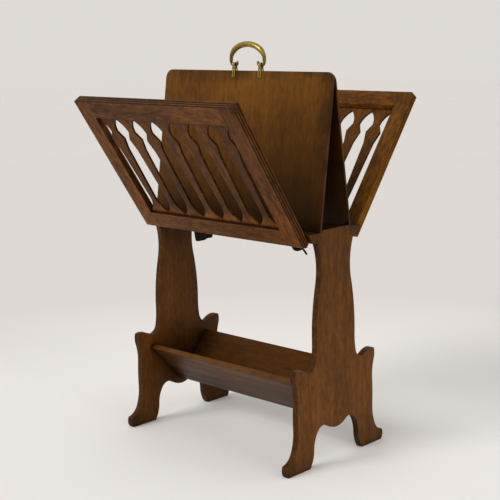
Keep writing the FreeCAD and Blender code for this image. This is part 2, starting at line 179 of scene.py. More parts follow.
def oak_group(finish):
    """Node group: stained oak in a board's own axes, x along the grain and growth rings about the x axis.
    Rings: distance from the x axis, shifted by slow noise, over the ring spacing, with a porous line where
    its fraction starts. Streaks, pores, fibres, mottle and blotches: noise stretched along x by less and
    less. Their sum runs through the three colours of the stain, and the pores take the darkest."""
    ring_shift, porous_line, pore_cut = 0.045, (0.0, 0.3, 1.0, 0.0), (0.58, 0.70)
    fibre_share, blotch_share, porous_share, sheen_change = 0.20, 0.34, 0.10, 0.07
    group = bpy.data.node_groups.new("Oak", "ShaderNodeTree")
    for name, kind in (("Vector", "Vector"), ("Tone", "Vector"), ("Figure", "Float")):
        group.interface.new_socket(name, in_out="INPUT", socket_type="NodeSocket" + kind)
    for name, kind in (("Color", "Color"), ("Roughness", "Float"), ("Height", "Float")):
        group.interface.new_socket(name, in_out="OUTPUT", socket_type="NodeSocket" + kind)
    entry = group.nodes.new("NodeGroupInput").outputs
    vector, tone, figure = (entry[name] for name in ("Vector", "Tone", "Figure"))
    drift, streak, mottle, fibre, blotch, pore = (
        noise(group, stretched(group, vector, share, 1.0, 1.0), *texture)
        for share, *texture in GRAIN.values())

    parts = node(group, "SeparateXYZ", {0: vector})
    across = maths(group, "SQRT", maths(group, "ADD", maths(group, "POWER", parts[1], 2.0),
                                        maths(group, "POWER", parts[2], 2.0)))
    shifted = maths(group, "ADD", across, times(group, drift, ring_shift))
    ring = maths(group, "FRACT", maths(group, "DIVIDE", shifted, finish.ring_spacing))
    porous = between(group, ring, *porous_line)
    pores = times(group, between(group, pore, *pore_cut),
                  maths(group, "ADD", times(group, porous, 0.7), 0.3))

    value = times(group, between(group, streak, *NOISE_SPAN), finish.streaks)
    figured = maths(group, "SUBTRACT", between(group, mottle, *NOISE_SPAN), 0.5)
    figured = times(group, times(group, figured, figure), finish.mottle)
    value = maths(group, "ADD", value, maths(group, "ADD", figured, 0.5 * finish.mottle))
    for pattern, share in ((fibre, fibre_share), (blotch, blotch_share)):
        value = maths(group, "ADD", value, times(group, between(group, pattern, *NOISE_SPAN), share))
    value = maths(group, "SUBTRACT", value, times(group, porous, porous_share))
    stops = ((0.10, finish.oak_dark), (0.50, finish.oak_mid), (0.95, finish.oak_light))
    colour = mixed(group, times(group, pores, 0.6), ramp(group, value, stops), (*finish.oak_dark, 1.0))
    colour = node(group, "VectorMath", {0: colour, 1: tone}, operation="MULTIPLY")[0]

    height = maths(group, "SUBTRACT", times(group, fibre, 0.35), times(group, pores, 0.8))
    duller, glossier = finish.oak_roughness + sheen_change, finish.oak_roughness - sheen_change
    rough = between(group, streak, *NOISE_SPAN, duller, glossier)
    rough = maths(group, "ADD", rough, times(group, pores, 0.2), clamp=True)
    leave = group.nodes.new("NodeGroupOutput")
    for name, socket in (("Color", colour), ("Roughness", rough), ("Height", height)):
        group.links.new(socket, leave.inputs[name])
    return group


def board_axes(grain, face):
    """Rotation that takes the grain direction to x and the board's face normal to z."""
    x, z = Vector(grain).normalized(), Vector(face).normalized()
    return Matrix((x, z.cross(x), z))


def along(tree, position, direction, origin):
    """Distance of the surface point from the origin along a direction."""
    reach = node(tree, "VectorMath", {0: position, 1: direction}, operation="DOT_PRODUCT")["Value"]
    return maths(tree, "SUBTRACT", reach, Vector(direction).dot(origin))


def facing(tree, direction):
    """1 on the faces that are square to a direction, and 0 on those that lie along it."""
    return maths(tree, "ABSOLUTE", along(tree, node(tree, "TexCoord")["Normal"], direction, Vector()))


def wing_axes(side):
    """Directions up an open wing and out of its face."""
    lean = LEAN[side]
    return (0, side * math.sin(lean), math.cos(lean)), (0, side * math.cos(lean), -math.sin(lean))


def height_darkening(tree, position, side, stops):
    """Share of darkening by the height on a wing: straight lines through stops of (share of height,
    darkness).
    """
    height = along(tree, position, wing_axes(side)[0], AXES[WORD[side] + "_wing_hinge"])
    return ramp(tree, between(tree, height, WING_FOOT, WING_FOOT + WING_HEIGHT),
                [(place, (darkness, darkness, darkness)) for place, darkness in stops])


def frame_shade(side, grooves, stops):
    """Painted shade on a wing's frame, the greatest of four masks. Rim: painted shade over its outer 3 mm
    and off the flat faces, the first share of grooves on the lines between the reeds and the second on
    their crowns, by how far the depth behind the wing's face over the reed's width is from a whole number.
    Corners: painted shade by the lesser of the distances past the top and past the end, both negative
    inside. Opening: painted shade on the cut faces round it. Height: darkening through the stops."""
    rise, out = wing_axes(side)
    axis = AXES[WORD[side] + "_wing_hinge"]
    rim_inset, rim_faces, line_to_crown = (-0.0045, -0.003), (0.92, 0.97, 1.0, 0.0), (0.13, 0.44)
    corner_inset = (-0.030, -0.010, 0.0, 0.70)
    opening_inset, opening_foot = (-0.040, -0.030, 1.0, 0.0), (-0.345, -0.335)
    opening_faces = (0.35, 0.75, 0.62, 0.0)

    def stain_and_shade(tree, position):
        depth = maths(tree, "SUBTRACT", along(tree, position, out, axis), WING_FACE)
        off_line = maths(tree, "PINGPONG", maths(tree, "DIVIDE", depth, REED), 0.5)
        height = maths(tree, "SUBTRACT", along(tree, position, rise, axis), WING_FOOT + WING_HEIGHT)
        width = maths(tree, "ABSOLUTE", node(tree, "SeparateXYZ", {0: position})["X"])
        width = maths(tree, "SUBTRACT", width, WING_HALF)
        inset = maths(tree, "MAXIMUM", height, width)
        flat = facing(tree, out)
        # Rim, corner and opening: painted shade in the reeds' grooves, in the corners and round the opening.
        rim = times(tree, between(tree, inset, *rim_inset), between(tree, flat, *rim_faces))
        rim = times(tree, between(tree, off_line, *line_to_crown, *grooves), rim)
        corner = between(tree, maths(tree, "MINIMUM", height, width), *corner_inset)
        opening = times(tree, between(tree, inset, *opening_inset), between(tree, height, *opening_foot))
        opening = times(tree, opening, between(tree, flat, *opening_faces))
        return greatest(tree, rim, corner, opening, height_darkening(tree, position, side, stops))
    return stain_and_shade


def cut_edges(face, share):
    """Dark stain on a board's cut edges, uneven with short noise: full where the surface is square to the
    board's face."""
    def stain_and_shade(tree, position):
        cut = between(tree, facing(tree, Vector(face).normalized()), 0.35, 0.75, share, 0.0)
        return times(tree, cut, between(tree, noise(tree, position, 130.0, 3.0), 0.35, 0.6, 0.55, 1.0))
    return stain_and_shade


def slat_stain_and_shade(side, stops):
    """Dark stain on a slat's cut edges, and darkening by the height, painted shade on the rear wing."""
    cut = cut_edges(wing_axes(side)[1], 0.95)

    def stain_and_shade(tree, position):
        return greatest(tree, cut(tree, position), height_darkening(tree, position, side, stops))
    return stain_and_shade


def standard_stain_and_shade(share, rear):
    """Dark stain on a standard's end grain and toes; painted shade that fades from its share under the rails
    to none at the feet, and a painted shadow, the share rear of it, on the ear and foot at the back."""
    feet_to_rails = (0.12, 0.5)
    middle_to_back, below_waist = (0.02, 0.09), (0.22, 0.27, 1.0, 0.0)
    foot_to_toe, below_ankle = (0.13, 0.17, 0.0, 0.6), (0.02, 0.06, 1.0, 0.0)
    ends = cut_edges((1, 0, 0), 0.72)

    def stain_and_shade(tree, position):
        _, y, z = node(tree, "SeparateXYZ", {0: position})
        # Painted shade: darker towards the rails, and a painted shadow on the rear ear and foot.
        under = between(tree, z, *feet_to_rails, 0.0, share)
        back = times(tree, between(tree, y, *middle_to_back, 0.0, rear), between(tree, z, *below_waist))
        toes = between(tree, maths(tree, "ABSOLUTE", y), *foot_to_toe)
        toes = times(tree, toes, between(tree, z, *below_ankle))
        return greatest(tree, ends(tree, position), under, back, toes)
    return stain_and_shade


def panel_wax_and_shade(tree, position):
    """Dark wax and painted shade on a panel. Edges, dark wax: towards its ends, less at the left one, and
    its ridge, uneven with broad noise and less towards the left. Pocket, painted shadow of the wing: from
    its foot up, less on the left. All over, painted shade: a third on the right, fading out at the middle.
    The last two join as one less the product of what each leaves clear."""
    x, _, z = node(tree, "SeparateXYZ", {0: position})
    right_end, left_end, ridge = (0.16, 0.262), (-0.262, -0.20, 0.5, 0.0), (0.825, 0.862)
    edge_from_left, patches = (-0.22, -0.08, 0.3, 1.0), (0.3, 0.6, 0.15, 0.85)
    pocket_up, pocket_from_left = (0.53, 0.80, 0.66, 0.0), (-0.10, 0.16, 0.6, 1.0)
    clear_from_left = (-0.04, 0.12, 1.0, 0.66)

    edge = greatest(tree, between(tree, x, *right_end), between(tree, x, *left_end),
                    between(tree, z, *ridge))
    edge = times(tree, edge, between(tree, noise(tree, position, 16.0, 3.0), *patches))
    edge = times(tree, edge, between(tree, x, *edge_from_left))
    # Pocket and the darker right-hand part: painted shade.
    pocket = times(tree, between(tree, z, *pocket_up), between(tree, x, *pocket_from_left))
    clear = times(tree, maths(tree, "SUBTRACT", 1.0, pocket), between(tree, x, *clear_from_left))
    return greatest(tree, edge, maths(tree, "SUBTRACT", 1.0, clear))


def oak_board(group, finish, name, grain, face, tone, figure, stain_and_shade):
    """Material of one board: the oak group in the board's axes, worn edges, painted shade in corners and
    pockets, and its own stain and painted shade. The letters of its name give a number that makes it a
    little lighter or darker than the others, and takes it from its own place along the log, about 30 to 70
    mm from the heart."""
    wear_edges, wear_patches = (0.02, 0.22), (0.38, 0.6, 0.25, 0.95)
    # Spans of painted shade: how far ambient occlusion in a crevice or a deep pocket darkens the colour.
    in_crevice, in_pocket = (0.35, 0.92, 0.85, 0.0), (0.14, 0.85, finish.pocket_shade, 0.0)
    seed = sum(ord(letter) for letter in name) % 97
    shade = 0.05 * math.sin(seed * 2.7)
    in_log = Vector((seed * 1.37 + 0.4, 0.025 * math.sin(seed * 2.1), 0.05 + 0.02 * math.sin(seed * 5.3)))
    turn = board_axes(grain, face)
    low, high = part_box(name)
    place = in_log - turn @ ((low + high) / 2)

    material, tree = new_material("oak_" + name)
    position = node(tree, "TexCoord")["Object"]
    mapped = node(tree, "Mapping", {"Vector": position, "Location": place, "Rotation": turn.to_euler()})[0]
    oak = tree.nodes.new("ShaderNodeGroup")
    oak.node_tree = group
    tree.links.new(mapped, oak.inputs["Vector"])
    oak.inputs["Tone"].default_value = [channel + shade for channel in tone]
    oak.inputs["Figure"].default_value = figure

    edge, rounded = arris(tree, finish.edge_radius)
    patchy = between(tree, noise(tree, position, 45.0, 3.0), *wear_patches)
    worn = times(tree, between(tree, edge, *wear_edges), patchy)
    colour = mixed(tree, worn, oak.outputs["Color"], (*finish.oak_wear, 1.0))
    # Painted shade: ambient occlusion over a short reach darkens corners and creases, and over a long reach
    # the deep pockets.
    crevice = node(tree, "AmbientOcclusion", {"Distance": finish.crevice_reach}, samples=6)["AO"]
    pocket = node(tree, "AmbientOcclusion", {"Distance": finish.pocket_reach}, samples=6)["AO"]
    masks = [between(tree, crevice, *in_crevice), between(tree, pocket, *in_pocket)]
    if stain_and_shade:
        masks.append(stain_and_shade(tree, position))
    for mask in masks:
        colour = mixed(tree, mask, colour, (*finish.oak_wax_and_shade, 1.0))
    bump = node(tree, "Bump", {"Strength": 0.35, "Distance": 0.0004, "Height": oak.outputs["Height"],
                               "Normal": rounded})[0]
    finish_with(tree, {"Base Color": colour, "Roughness": oak.outputs["Roughness"], "Normal": bump,
                       "Specular IOR Level": 0.14, "Specular Tint": (1.0, 0.70, 0.42, 1.0)})
    return material


def dress(name, material):
    """Gives a CAD node its material."""
    mesh = frame["nodes"][name].data
    mesh.materials.clear()
    mesh.materials.append(material)


# ---------------------------------------------------------------- metals

def brass_material(finish, name, low, high, feet):
    """Aged brass: warm yellow with brown patina in broad patches and hollows and, as the share feet says,
    below the height low, fading out at the height high. Fine polish scratches."""
    material, tree = new_material(name)
    position = node(tree, "TexCoord")["Object"]
    patches = between(tree, noise(tree, position, 140.0, 4.0), 0.35, 0.7)
    closed = node(tree, "AmbientOcclusion", {"Distance": 0.006}, samples=6)["AO"]
    dark_feet = between(tree, node(tree, "SeparateXYZ", {0: position})["Z"], low, high, feet, 0.0)
    patina = maths(tree, "ADD", times(tree, patches, 0.5), between(tree, closed, 0.2, 0.95, 0.8, 0.0))
    patina = maths(tree, "ADD", patina, dark_feet, clamp=True)
    colour = mixed(tree, patina, (*finish.brass, 1.0), (*finish.brass_patina, 1.0))
    scratches = noise(tree, stretched(tree, position, 1.0, 1.0, 0.2), 1400.0, 2.0)
    bump = node(tree, "Bump", {"Strength": 0.12, "Distance": 0.0002, "Height": scratches})[0]
    finish_with(tree, {"Base Color": colour, "Metallic": 1.0, "Normal": bump,
                       "Roughness": between(tree, patches, 0.0, 1.0, 0.26, 0.46)})
    return material


def iron_material(finish):
    """Black painted iron, made once: near black, brown in patches, paler where the paint wears at the
    edges, slightly uneven."""
    name = "black_iron"
    made = bpy.data.materials.get(name)
    if made:
        return made
    material, tree = new_material(name)
    uneven = noise(tree, node(tree, "TexCoord")["Object"], 220.0, 4.0)
    edge = arris(tree, finish.paint_edge)[0]
    worn = times(tree, between(tree, edge, 0.02, 0.2), between(tree, uneven, 0.45, 0.65, 0.0, 0.7))
    colour = mixed(tree, between(tree, uneven, 0.35, 0.7), (*finish.iron, 1.0), (*finish.iron_brown, 1.0))
    colour = mixed(tree, worn, colour, (*finish.iron_wear, 1.0))
    bump = node(tree, "Bump", {"Strength": 0.3, "Distance": 0.0004, "Height": uneven})[0]
    finish_with(tree, {"Base Color": colour, "Normal": bump, "Specular IOR Level": 0.09,
                       "Roughness": between(tree, uneven, *NOISE_SPAN, 0.45, 0.62)})
    return material


# ---------------------------------------------------------------- shapes

def skin(name, grids, poles, material):
    """Mesh over copies of a grid: every ring joins round to its start and to the next ring, and the first
    and the last ring close on the copy's two poles."""
    copies, rings, around = grids.shape[:3]
    index = np.arange(rings * around).reshape(rings, around)
    turned = np.roll(index, -1, axis=1)
    sides = np.stack((index[:-1], turned[:-1], turned[1:], index[1:]), axis=-1).reshape(-1, 4)
    first, last = rings * around, rings * around + 1
    start = np.stack((np.full(around, first), turned[0], index[0]), axis=-1)
    end = np.stack((np.full(around, last), index[-1], turned[-1]), axis=-1)
    points = np.concatenate((grids.reshape(copies, -1, 3), poles), axis=1)
    offset = (np.arange(copies) * points.shape[1])[:, None, None]
    faces = []
    for group in (sides, start, end):
        faces += (group + offset).reshape(-1, group.shape[1]).tolist()
    mesh = bpy.data.meshes.new(name)
    mesh.from_pydata(points.reshape(-1, 3).tolist(), [], faces)
    mesh.shade_smooth()
    mesh.materials.append(material)
    made = bpy.data.objects.new(name, mesh)
    bpy.context.scene.collection.objects.link(made)
    return made


def bars(lines, across, thick, wide, around):
    """Rings of bars along lines that lie in planes square to the direction across. Each ring is the line's
    point plus (thick times cosine) along the line's normal plus (wide times sine) along across."""
    tangent = np.gradient(lines, axis=-2)
    tangent /= np.linalg.norm(tangent, axis=-1, keepdims=True)
    normal = np.cross(across, tangent)
    phi = np.linspace(0.0, 2 * np.pi, around, endpoint=False)[:, None]
    lift = thick[..., None, None] * np.cos(phi) * normal[..., None, :]
    side = wide[..., None, None] * np.sin(phi) * np.array(across)
    return lines[..., None, :] + lift + side


def eased(line, count):
    """Points along a line, closer together towards its ends: half of the whole length times one less the
    cosine of an even angle, by linear interpolation over the running length. Gives their lengths too."""
    run = np.concatenate(((0.0,), np.cumsum(np.linalg.norm(np.diff(line, axis=0), axis=1))))
    wanted = run[-1] * (1.0 - np.cos(np.linspace(0.0, np.pi, count))) / 2
    return np.stack([np.interp(wanted, run, column) for column in line.T], axis=-1), wanted


def quarter(centre, radii, start, end, count):
    """Points of an elliptic arc: centre plus the radii times cosine and sine of the angle in degrees."""
    angle = np.radians(np.linspace(start, end, count))
    return np.stack((centre[0] + radii[0] * np.cos(angle), centre[1] + radii[1] * np.sin(angle)), axis=-1)


def rounded_ends(run, reach):
    """Share of the full radius along a bar: a quarter ellipse over the given reach at each end, else 1."""
    inside = np.clip(np.minimum(run, run[-1] - run) / reach, 0.0, 1.0)
    return np.sqrt(np.clip(1.0 - (1.0 - inside) ** 2, 0.0015, 1.0))


def smooth_step(value, low, high):
    """0 below low, 1 above high, and three squares less two cubes of the share between them."""
    share = np.clip((value - low) / (high - low), 0.0, 1.0)
    return share * share * (3.0 - 2.0 * share)


def screw_heads(centres, outs, slots, size):
    """Raised slotted heads. In a head's own axes the slot runs along the first, and each ring has its
    stations where the slot's walls cut it, at the arcsine of the slot's half width over the radius, with
    even steps on the two lands between. The dome is its height times one less 0.85 times the square of
    radius over head radius, and its rim goes down into the leaf."""
    radius, dome, half_slot = size.screw_radius, size.screw_dome, size.screw_slot
    floor, sunk = 0.25 * dome, -0.3 * dome
    beside_slot, lands = 1.02 * half_slot, 7
    steps = 0.45 * radius, 0.72 * radius, 0.92 * radius
    reach = np.array((beside_slot, beside_slot, *steps, radius, radius))
    cut = np.arcsin(half_slot / reach)[:, None]
    land = cut + np.linspace(0.0, 1.0, lands) * (np.pi - 2 * cut)
    half_turn = np.concatenate((cut, land, np.pi - cut), axis=1)
    angle = np.concatenate((half_turn, half_turn + np.pi), axis=1)
    top = (dome * (1.0 - 0.85 * (reach / radius) ** 2))[:, None]
    on_land = np.tile(np.concatenate(((0.0,), np.ones(lands), (0.0,))), 2)
    height = np.where(on_land > 0, top, np.minimum(top, floor))
    height[0] = floor
    height[-1] = sunk
    local = np.stack((reach[:, None] * np.cos(angle), reach[:, None] * np.sin(angle), height), axis=-1)
    ends = np.array(((0.0, 0.0, floor), (0.0, 0.0, sunk)))
    axes = np.stack((slots, np.cross(outs, slots), outs), axis=1)
    grids = centres[:, None, None] + np.einsum("rsa,nab->nrsb", local[::-1], axes)
    return grids, centres[:, None] + np.einsum("pa,nab->npb", ends[::-1], axes)


# ---------------------------------------------------------------- settings

def length_setting(name, description, default, **limits):
    return FloatProperty(name=name, description=description, default=default, unit="LENGTH", **limits)


def share_setting(name, description, default, **limits):
    limits = {"min": 0, "max": 1, **limits}
    return FloatProperty(name=name, description=description, default=default, subtype="FACTOR", **limits)


def colour_setting(name, description, default):
    return FloatVectorProperty(name=name, description=description, default=default, subtype="COLOR",
                               min=0, max=1)


class StandFinish(bpy.types.PropertyGroup):
    """Colours and patterns of the oak, the brass and the iron"""
    oak_dark: colour_setting("Oak, darkest", "Stain in the grain lines", (0.027, 0.0080, 0.0012))
    oak_mid: colour_setting("Oak, middle", "Stain over most of the wood", (0.069, 0.0230, 0.0036))
    oak_light: colour_setting("Oak, lightest", "Stain on the clear wood", (0.133, 0.048, 0.0070))
    oak_wear: colour_setting("Oak, worn", "Bare wood on rubbed edges", (0.21, 0.083, 0.020))
    # Dark colour for dark wax and stain, and for the painted shade in corners, depths and pockets.
    oak_wax_and_shade: colour_setting("Oak, dark wax and shade", "Dark wax, and painted shade in corners and depths", (0.007, 0.0030, 0.0009))
    streaks: share_setting("Streaks", "Contrast of the streaks along the grain", 0.20)
    mottle: share_setting("Mottle", "Contrast of the short fibres", 0.34)
    # Pocket and crevice settings: strength and reach of the painted shade from ambient occlusion.
    pocket_shade: share_setting("Pocket shade", "Share of painted shade in the deep pockets", 0.88)
    pocket_reach: length_setting("Pocket reach", "How far off a wall shuts a pocket in", 0.24, min=0.01)
    crevice_reach: length_setting("Crevice reach", "How far painted shade lies out of a corner", 0.014, min=0.001)
    oak_roughness: share_setting("Oak roughness", "Sheen of the waxed wood", 0.46, min=0.1, max=0.9)
    ring_spacing: length_setting("Ring spacing", "Distance between growth rings", 0.0024, min=0.0005)
    edge_radius: length_setting("Edge radius", "Rounding of the boards' arrises", 0.0014, min=0.0001)
    brass: colour_setting("Brass", "Rubbed brass", (0.40, 0.29, 0.065))
    brass_patina: colour_setting("Brass patina", "Brown patina on the brass", (0.060, 0.045, 0.012))
    iron: colour_setting("Iron", "Black paint on the iron", (0.004, 0.0036, 0.0033))
    iron_brown: colour_setting("Iron, browned", "Paint in the brown patches", (0.009, 0.007, 0.005))
    iron_wear: colour_setting("Iron, worn", "Metal on rubbed edges", (0.07, 0.058, 0.048))
    paint_edge: length_setting("Paint edge", "Rounding of the painted edges", 0.0008, min=0.0001)


class StandHandle(bpy.types.PropertyGroup):
    """Sizes of the carrying handle and its two staples"""
    grip_half: length_setting("Grip half width", "Half width of the grip's centre line", 0.0514)
    grip_lift: length_setting("Grip lift", "Height of the grip's feet over the pins", 0.013)
    grip_rise: length_setting("Grip rise", "Height of the grip above its feet", 0.033)
    grip_crown: length_setting("Crown radius", "Radius of the bar at the crown", 0.0065)
    grip_foot: length_setting("Foot radius", "Radius of the bar at the grip's feet", 0.0041)
    pin: length_setting("Pin radius", "Radius of the bar through the staples", 0.003)
    pin_inner: length_setting("Pin inner end", "Distance of the pin's inner end from the middle", 0.0355)
    pin_outer: length_setting("Pin outer end", "Distance of the pin's outer end from the middle", 0.0455)
    curl: length_setting("Curl bend", "Bend radius of the curled tips", 0.0035)
    tip_rise: length_setting("Tip rise", "Height of the tips above their bends", 0.0055)
    tip: length_setting("Tip radius", "Radius of the curled tips", 0.0022)
    staple_leg: length_setting("Staple leg", "Length of the staples down the panels", 0.0168)
    staple_wide: length_setting("Strand half width", "Half width of a staple's strand", 0.00175)
    staple_thick: length_setting("Strand half thickness", "Half thickness of a staple's strand", 0.0012)
    rings: IntProperty(name="Rings", description="Rings along the handle's bar", min=40, default=200)


class StandStays(bpy.types.PropertyGroup):
    """Sizes of the two cross stays and of the pin that hangs from the right one"""
    left_tab: length_setting("Left tab", "Half width of the left stay's tab at its foot", 0.023)
    left_edge: length_setting("Left tab's top", "Half width of the left tab at its top", 0.030)
    left_depth: share_setting("Left depth", "Depth of the left tab, as a share of the node's", 0.97)
    left_step: share_setting("Left step", "Share of its depth that the tab's rear half lacks", 0.06)
    right_tab: length_setting("Right tab", "Half width of the right stay's tab at its foot", 0.004)
    right_edge: length_setting("Right tab's top", "Half width of the right tab at its top", 0.026)
    right_depth: share_setting("Right depth", "Depth of the right tab, as a share of the node's", 0.92)
    right_step: share_setting("Right step", "Share of its depth that the tab's rear half lacks", 0.0)
    corner: length_setting("Corner radius", "Rounding of the stays' long edges", 0.0012)
    pin: length_setting("Hanging pin radius", "Radius of the pin on the right stay", 0.0023)


class StandScrews(bpy.types.PropertyGroup):
    """Places and sizes of the screw heads on the wings' hinges"""
    hinge_inset: length_setting("Hinge place", "Distance of the hinges from the middle", 0.170)
    leaf_drop: length_setting("Leaf drop", "Distance of the leaves' faces from the hinge axis", 0.0024)
    screw_pitch: length_setting("Screw pitch", "Distance between a leaf's screws, lengthwise", 0.0175)
    screw_near: length_setting("Outer screws", "Distance of a leaf's outer screws from the axis", 0.0095)
    screw_far: length_setting("Middle screw", "Distance of a leaf's middle screw from the axis", 0.0155)
    screw_radius: length_setting("Head radius", "Radius of the screw heads", 0.0029)
    screw_dome: length_setting("Head rise", "Rise of the screw heads", 0.0009)
    screw_slot: length_setting("Slot half width", "Half width of the screws' slots", 0.00035)


class StandStage(bpy.types.PropertyGroup):
    """Colours and strengths of the floor, the background and the lights"""
    # Floor at the stand: paler than far off, a painted pool of light round the stand.
    floor: colour_setting("Floor", "Colour of the floor at the stand", (0.91, 0.88, 0.86))
    floor_far: colour_setting("Far floor", "Colour of the floor far off", (0.745, 0.712, 0.685))
    wall: colour_setting("Background", "Colour behind the object", (0.735, 0.70, 0.675))
    room: colour_setting("Room", "Colour of the room's light", (1.0, 0.99, 0.97))
    key: FloatProperty(name="Key light", description="Strength of the soft key light", min=0, default=1.45)
    fill: FloatProperty(name="Fill light", description="Strength of the low fill light", min=0, default=0.9)
    ambient: FloatProperty(name="Ambient", description="Strength of the room's light", min=0, default=0.68)


# ---------------------------------------------------------------- operators

def stain(context, rows):
    """Gives each board its own oak: rows of node name, grain, face, tone, figure and its own stain and
    painted shade.
    """
    finish = context.scene.stand_finish
    group = bpy.data.node_groups.get("Oak") or oak_group(finish)
    for row in rows:
        dress(row[0], oak_board(group, finish, *row))


class STAND_OT_boards(bpy.types.Operator):
    """Stains the standards, trough boards, shelf rails and panels"""
    bl_idname = "atlas_stand.boards"
    bl_label = "Boards"

    def execute(self, context):
        up, level = (0, 0, 1), (1, 0, 0)
        rail_tone, panel_tone = (0.9, 0.9, 0.9), (1.82, 1.90, 1.2)
        # The right standard's tone is lower than the left's to offset the fill lamp on it, a painted shade;
        # the two numbers after each set its painted shade under the rails and its painted shadow at the
        # back.
        rows = [("standard_left", up, (-1, 0, 0), (1.65, 1.6, 1.5), 1.0, standard_stain_and_shade(0.5, 0.5)),
                ("standard_right", up, (1, 0, 0), (1.5, 1.48, 1.25), 1.0, standard_stain_and_shade(0.42, 0.0)),
                # The front trough board's bluer tone is a painted sheen, the grey of the pale floor
                # reflected on its waxed face.
                ("trough_board_front", level, (0, 1, 1), (1.2, 1.27, 1.8), 0.8, None),
                ("trough_board_rear", level, (0, -1, 1), (1.15, 1.08, 0.6), 0.8, None)]
        for side, word in WORD.items():
            grain, face = (0, -side * PANEL_SLOPE, 1), (0, side, PANEL_SLOPE)
            rows += [("shelf_rail_" + word, level, up, rail_tone, 0.8, None),
                     ("panel_" + word, grain, face, panel_tone, 0.75, panel_wax_and_shade)]
        stain(context, rows)
        return {"FINISHED"}


class STAND_OT_wings(bpy.types.Operator):
    """Stains the frames and slats of the two wings"""
    bl_idname = "atlas_stand.wings"
    bl_label = "Wings"

    def execute(self, context):
        level, figure, slats = (1, 0, 0), 2.1, 7
        no_height_darkening = ((0.0, 0.0), (1.0, 0.0))
        # Painted shade in the rim's grooves: the share between the reeds, then the share on their crowns.
        grooves = {FRONT: (0.88, 0.2), REAR: (0.42, 0.34)}
        rail_tones = {FRONT: (1.27, 1.24, 1.35), REAR: (1.45, 1.36, 0.42)}
        left_tones = {FRONT: (2.35, 2.30, 2.50), REAR: (2.6, 2.65, 0.6)}
        right_tones = {FRONT: (1.65, 1.52, 1.38), REAR: (2.6, 2.65, 0.6)}
        slat_tones = {FRONT: (1.95, 1.85, 1.80), REAR: (1.85, 1.72, 0.55)}
        # Darkening by the height; on the rear wing, where it grows towards the top, it is painted shade.
        stile_height_darkening = {FRONT: ((0.2, 0.0), (0.5, 0.28), (1.0, 0.46)),
                     REAR: ((0.45, 0.0), (0.8, 0.5), (0.95, 0.68))}
        slat_height_darkening = {FRONT: ((0.16, 0.0), (0.22, 0.64), (0.5, 0.50), (0.88, 0.38)),
                    REAR: ((0.4, 0.0), (0.85, 0.37))}
        for side, word in WORD.items():
            up, out = wing_axes(side)
            # Frames get painted shade; slats get stain on their cut edges and the darkening by the height.
            rail_shade = frame_shade(side, grooves[side], no_height_darkening)
            stile_shade = frame_shade(side, grooves[side], stile_height_darkening[side])
            slats_stain_and_shade = slat_stain_and_shade(side, slat_height_darkening[side])
            rows = [("top_rail", level, rail_tones[side], rail_shade),
                    ("bottom_rail", level, rail_tones[side], rail_shade),
                    ("stile_left", up, left_tones[side], stile_shade),
                    ("stile_right", up, right_tones[side], stile_shade)]
            rows += [("slat_%d" % number, up, slat_tones[side], slats_stain_and_shade)
                     for number in range(1, slats + 1)]
            stain(context, [("%s_wing_%s" % (word, member), grain, out, tone, figure, stain_and_shade)
                            for member, grain, tone, stain_and_shade in rows])
        return {"FINISHED"}


class STAND_OT_iron(bpy.types.Operator):
    """Paints the hinges, the cross stays and the small pin"""
    bl_idname = "atlas_stand.iron"
    bl_label = "Ironwork"

    def execute(self, context):
        material = iron_material(context.scene.stand_finish)
        for name in frame["nodes"]:
            if "hinge" in name or name.startswith("cross_stay") or name == "stay_pin":
                dress(name, material)
        return {"FINISHED"}


